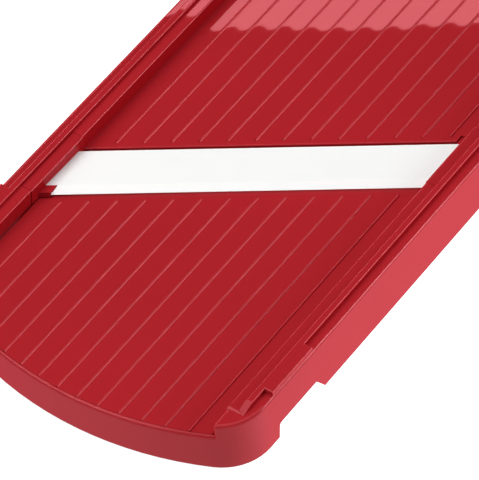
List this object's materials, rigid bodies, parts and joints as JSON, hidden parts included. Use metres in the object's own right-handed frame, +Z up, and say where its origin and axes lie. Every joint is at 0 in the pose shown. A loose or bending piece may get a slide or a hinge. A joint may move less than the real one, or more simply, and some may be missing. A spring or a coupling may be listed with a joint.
{
  "type": "mandoline slicer",
  "caption": "Hand-held slicer with ribbed decks, a fixed skewed ceramic blade, a lowering infeed table and a thickness knob underneath.",
  "frame": {"origin": "bottom centre of the bounding box, on the surface that the slicer lies on", "axes": "+Y along the slicer from its rounded toe to its handle, +X to the right seen from the toe, +Z up out of the decks"},
  "size_m": [0.092, 0.2686, 0.0194],
  "materials": {
    "body_plastic": "glossy red moulded plastic",
    "table_plastic": "glossy red moulded plastic",
    "carrier_plastic": "glossy red moulded plastic",
    "ceramic": "polished white zirconia ceramic",
    "knob_plastic": "satin light grey plastic",
    "ring_plastic": "glossy red moulded plastic",
    "steel": "plain stainless steel",
    "spring_steel": "bright stainless spring steel"
  },
  "bodies": {
    "frame_body": {"frame": "body_plastic", "blade": "ceramic", "blade_carrier": "carrier_plastic", "carrier_screws": "steel", "knob_ring": "ring_plastic", "ring_screws": "steel", "click_spring": "spring_steel", "click_spring_screw": "steel", "return_spring_1": "spring_steel", "return_spring_2": "spring_steel", "return_spring_3": "spring_steel", "return_spring_4": "spring_steel"},
    "table_body": {"infeed_table": "table_plastic", "post_washers": "steel", "post_screws": "steel"},
    "knob_body": {"thickness_knob": "knob_plastic"}
  },
  "joints": [
    {"name": "table_lift", "type": "slide", "parent": "frame_body", "child": "table_body", "axis": [0, 0, 1], "range_m": [-0.0025, 0], "deforming": ["return_spring_1", "return_spring_2", "return_spring_3", "return_spring_4"]},
    {"name": "knob_turn", "type": "hinge", "parent": "frame_body", "child": "knob_body", "pos_m": [0.014, -0.0702, 0.005], "axis": [0, 0, 1], "range_deg": [0, 90]}
  ],
  "couplings": [
    {"joint": "knob_turn", "follows": "table_lift", "rad_per_m": -628.3}
  ]
}
